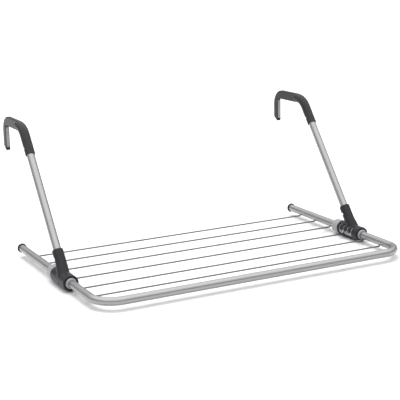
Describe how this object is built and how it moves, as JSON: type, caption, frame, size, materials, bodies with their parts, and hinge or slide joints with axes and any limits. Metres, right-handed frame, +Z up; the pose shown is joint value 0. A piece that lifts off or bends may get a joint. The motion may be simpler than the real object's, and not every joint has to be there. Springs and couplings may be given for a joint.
{
  "type": "hang-over drying rack",
  "caption": "Fold-down clothes drying rack that hangs over a door or rail: bent tube frame with wires, two hinged arms and padded hooks.",
  "frame": {"origin": "middle of the door's top front edge: Y = 0 is the door face that the tube ends rest on, Z = 0 the door's top that the hooks sit on", "axes": "+X to the rack's right as seen from the room, +Y into the door and past it, +Z up"},
  "size_m": [0.6926, 0.503, 0.2885],
  "materials": {
    "frame_paint": "satin metallic grey powder coat",
    "arm_paint": "satin metallic grey powder coat",
    "wire_paint": "satin grey coat",
    "joint_plastic": "fine moulded texture, near black",
    "hook_plastic": "fine moulded texture, dark grey",
    "cap_plastic": "moulded, black",
    "bush_plastic": "natural, slightly milky polymer",
    "soft_pad": "soft light grey elastomer",
    "screw_steel": "bright zinc plated"
  },
  "bodies": {
    "frame": {"frame_tube": "frame_paint", "drying_wire_1": "wire_paint", "drying_wire_2": "wire_paint", "drying_wire_3": "wire_paint", "drying_wire_4": "wire_paint", "drying_wire_5": "wire_paint", "drying_wire_6": "wire_paint", "end_cap_left": "cap_plastic", "end_cap_right": "cap_plastic", "joint_bush_left": "bush_plastic", "joint_bush_right": "bush_plastic"},
    "left_arm": {"arm_joint_left": "joint_plastic", "arm_tube_left": "arm_paint", "hook_left": "hook_plastic", "hook_pad_left": "soft_pad", "socket_screw_left": "screw_steel", "hook_screw_left": "screw_steel"},
    "right_arm": {"arm_joint_right": "joint_plastic", "arm_tube_right": "arm_paint", "hook_right": "hook_plastic", "hook_pad_right": "soft_pad", "socket_screw_right": "screw_steel", "hook_screw_right": "screw_steel"}
  },
  "joints": [
    {"name": "left_fold", "type": "hinge", "parent": "frame", "child": "left_arm", "pos_m": [-0.33, -0.25, -0.253], "axis": [0, 1, 0], "range_deg": [0, 76]},
    {"name": "right_fold", "type": "hinge", "parent": "frame", "child": "right_arm", "pos_m": [0.33, -0.25, -0.253], "axis": [0, -1, 0], "range_deg": [0, 76]}
  ]
}
